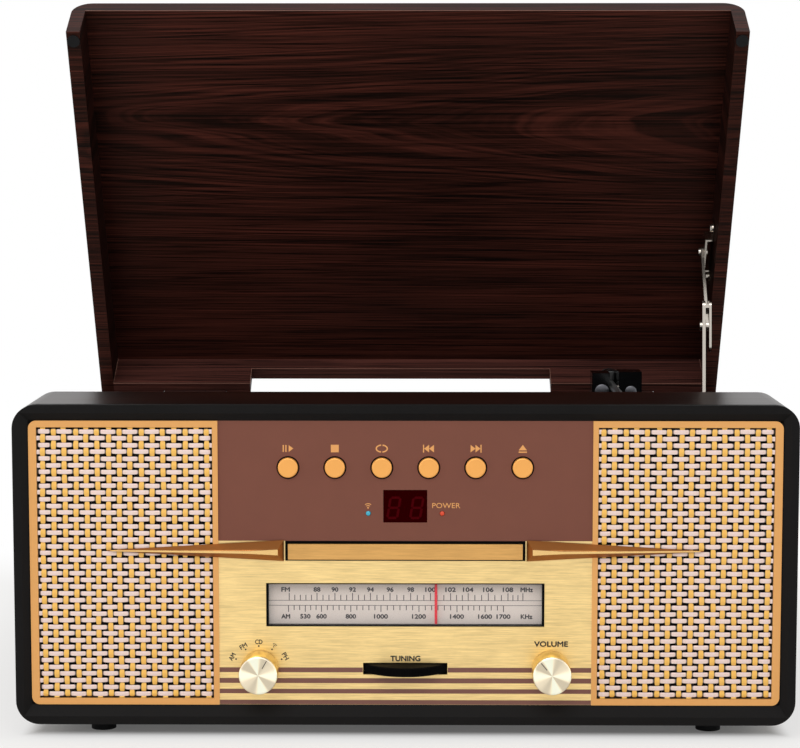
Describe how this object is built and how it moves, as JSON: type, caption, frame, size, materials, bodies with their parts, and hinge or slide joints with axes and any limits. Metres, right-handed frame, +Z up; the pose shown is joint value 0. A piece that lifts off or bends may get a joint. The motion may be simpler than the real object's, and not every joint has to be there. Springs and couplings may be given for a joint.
{
  "type": "stereo music centre",
  "caption": "Tabletop stereo music centre: record turntable under a propped wooden lid, disc drawer, tuner dial with wheel, knobs, buttons and woven speaker grilles.",
  "frame": {"origin": "on the floor plane under the feet, at the middle of the object's box with the lid open, sideways and front to back", "axes": "+X to the right seen from the front, +Y to the back, +Z up"},
  "size_m": [0.495, 0.4618, 0.4826],
  "materials": {
    "wood_veneer": "dark walnut-coloured veneer print with fine grain, satin",
    "black_bezel": "finely grained matt black",
    "black_board": "board painted matt black",
    "brown_plate": "fine satin brown paint",
    "gold_plate": "horizontally brushed, pale gold anodised",
    "gold_trim": "satin gold paint",
    "woven_cloth": "plain weave of gold and pinkish-white tapes",
    "speaker": "paper cone in a pressed basket",
    "black_plastic": "satin black moulding",
    "display_red": "smoked red window",
    "lamp": "small clear lamps",
    "dial_face": "printed warm grey scale",
    "clear_lens": "clear window",
    "circuit_board": "green board with parts",
    "plated_steel": "zinc plated",
    "transformer_iron": "varnished iron",
    "deck_black": "finely textured black deck",
    "rubber": "matt black rubber",
    "nickel": "bright nickel plate",
    "button_gold": "satin gold",
    "knob_metal": "spun face, pale gold sides",
    "pointer_red": "red",
    "platter_black": "black painted platter",
    "felt": "black felt",
    "brass": "turned",
    "arm_metal": "satin tube with a black headshell"
  },
  "bodies": {
    "cabinet": {"cabinet_shell": "wood_veneer", "rear_panel": "black_board", "front_bezel": "black_bezel", "front_baffle": "black_board", "upper_fascia": "brown_plate", "lower_fascia": "gold_plate", "left_grille_frame": "gold_trim", "right_grille_frame": "gold_trim", "grille_cloths": "woven_cloth", "speakers": "speaker", "trim_spears": "gold_trim", "drawer_surround": "black_plastic", "display_window": "display_red", "indicator_lamps": "lamp", "dial_frame": "black_plastic", "dial_plate": "dial_face", "dial_lens": "clear_lens", "control_board": "circuit_board", "panel_controls": "plated_steel", "tuning_capacitor": "plated_steel", "cd_mechanism": "plated_steel", "main_board": "circuit_board", "power_transformer": "transformer_iron", "deck_plate": "deck_black", "turntable_motor": "plated_steel", "platter_bearing": "brass", "drive_belt": "rubber", "tonearm_base": "black_plastic", "arm_rest": "black_plastic", "rear_sockets": "black_plastic", "feet": "rubber", "case_screws": "plated_steel", "cabinet_hinge_leaves": "nickel", "stay_base_bracket": "nickel"},
    "lid": {"lid_shell": "wood_veneer", "lid_rear_rail": "wood_veneer", "lid_bumpers": "rubber", "lid_hinge_leaves": "nickel", "stay_lid_bracket": "nickel"},
    "stay_upper_arm": {"stay_upper_arm": "nickel"},
    "stay_lower_arm": {"stay_lower_arm": "nickel"},
    "play_pause_button": {"play_pause_button": "button_gold"},
    "stop_button": {"stop_button": "button_gold"},
    "repeat_button": {"repeat_button": "button_gold"},
    "skip_back_button": {"skip_back_button": "button_gold"},
    "skip_forward_button": {"skip_forward_button": "button_gold"},
    "eject_button": {"eject_button": "button_gold"},
    "selector_knob": {"selector_knob": "knob_metal"},
    "volume_knob": {"volume_knob": "knob_metal"},
    "tuning_wheel": {"tuning_wheel": "black_plastic"},
    "dial_pointer": {"dial_pointer": "pointer_red"},
    "disc_drawer": {"cd_tray": "black_plastic", "drawer_front": "gold_trim"},
    "cd_spindle": {"cd_spindle": "plated_steel"},
    "platter": {"platter": "platter_black", "slip_mat": "felt"},
    "motor_pulley": {"motor_pulley": "brass"},
    "tonearm_gimbal": {"tonearm_gimbal": "black_plastic"},
    "tonearm": {"tonearm": "arm_metal"},
    "speed_lever": {"speed_lever": "black_plastic"}
  },
  "joints": [
    {"name": "lid_hinge", "type": "hinge", "parent": "cabinet", "child": "lid", "pos_m": [0, 0.19108, 0.179], "axis": [1, 0, 0], "range_deg": [0, 60]},
    {"name": "stay_upper_pivot", "type": "hinge", "parent": "lid", "child": "stay_upper_arm", "pos_m": [0.2293, 0.14763, 0.29525], "axis": [1, 0, 0], "range_deg": [-84.6, 0]},
    {"name": "stay_elbow", "type": "hinge", "parent": "stay_upper_arm", "child": "stay_lower_arm", "pos_m": [0.2293, 0.10932, 0.24053], "axis": [1, 0, 0], "range_deg": [0, 118.7]},
    {"name": "play_pause_press", "type": "slide", "parent": "cabinet", "child": "play_pause_button", "axis": [0, 1, 0], "range_m": [0, 0.0015], "stiffness_N_per_m": 500, "springref_m": -0.0008},
    {"name": "stop_press", "type": "slide", "parent": "cabinet", "child": "stop_button", "axis": [0, 1, 0], "range_m": [0, 0.0015], "stiffness_N_per_m": 500, "springref_m": -0.0008},
    {"name": "repeat_press", "type": "slide", "parent": "cabinet", "child": "repeat_button", "axis": [0, 1, 0], "range_m": [0, 0.0015], "stiffness_N_per_m": 500, "springref_m": -0.0008},
    {"name": "skip_back_press", "type": "slide", "parent": "cabinet", "child": "skip_back_button", "axis": [0, 1, 0], "range_m": [0, 0.0015], "stiffness_N_per_m": 500, "springref_m": -0.0008},
    {"name": "skip_forward_press", "type": "slide", "parent": "cabinet", "child": "skip_forward_button", "axis": [0, 1, 0], "range_m": [0, 0.0015], "stiffness_N_per_m": 500, "springref_m": -0.0008},
    {"name": "eject_press", "type": "slide", "parent": "cabinet", "child": "eject_button", "axis": [0, 1, 0], "range_m": [0, 0.0015], "stiffness_N_per_m": 500, "springref_m": -0.0008},
    {"name": "selector_turn", "type": "hinge", "parent": "cabinet", "child": "selector_knob", "pos_m": [-0.0923, -0.21392, 0.046], "axis": [0, 1, 0], "range_deg": [-90, 30]},
    {"name": "volume_turn", "type": "hinge", "parent": "cabinet", "child": "volume_knob", "pos_m": [0.0923, -0.21392, 0.046], "axis": [0, 1, 0], "range_deg": [-110, 190]},
    {"name": "tuning_turn", "type": "hinge", "parent": "cabinet", "child": "tuning_wheel", "pos_m": [0, -0.18992, 0.046], "axis": [0, 0, 1], "range_deg": [-178, 99]},
    {"name": "pointer_travel", "type": "slide", "parent": "cabinet", "child": "dial_pointer", "axis": [1, 0, 0], "range_m": [-0.0875, 0.0487]},
    {"name": "drawer_slide", "type": "slide", "parent": "cabinet", "child": "disc_drawer", "axis": [0, -1, 0], "range_m": [0, 0.136]},
    {"name": "disc_spin", "type": "hinge", "parent": "cabinet", "child": "cd_spindle", "pos_m": [0, -0.13582, 0.11], "axis": [0, 0, 1], "continuous": true},
    {"name": "platter_spin", "type": "hinge", "parent": "cabinet", "child": "platter", "pos_m": [-0.022, 0.02358, 0.17], "axis": [0, 0, -1], "continuous": true},
    {"name": "pulley_spin", "type": "hinge", "parent": "cabinet", "child": "motor_pulley", "pos_m": [-0.09059, 0.09217, 0.17], "axis": [0, 0, -1], "continuous": true},
    {"name": "arm_swing", "type": "hinge", "parent": "cabinet", "child": "tonearm_gimbal", "pos_m": [0.158, 0.11108, 0.193], "axis": [0, 0, -1], "range_deg": [0, 50]},
    {"name": "arm_lift", "type": "hinge", "parent": "tonearm_gimbal", "child": "tonearm", "pos_m": [0.158, 0.11108, 0.193], "axis": [-1, 0, 0], "range_deg": [0, 4]},
    {"name": "speed_select", "type": "hinge", "parent": "cabinet", "child": "speed_lever", "pos_m": [0.1955, -0.09992, 0.165], "axis": [0, 0, 1], "range_deg": [-20, 20]}
  ],
  "couplings": [
    {"joint": "stay_upper_pivot", "follows": "lid_hinge", "ratio": -1.407},
    {"joint": "stay_elbow", "follows": "lid_hinge", "ratio": 1.975},
    {"joint": "pointer_travel", "follows": "tuning_turn", "m_per_rad": 0.028},
    {"joint": "pulley_spin", "follows": "platter_spin", "ratio": 16.4}
  ]
}
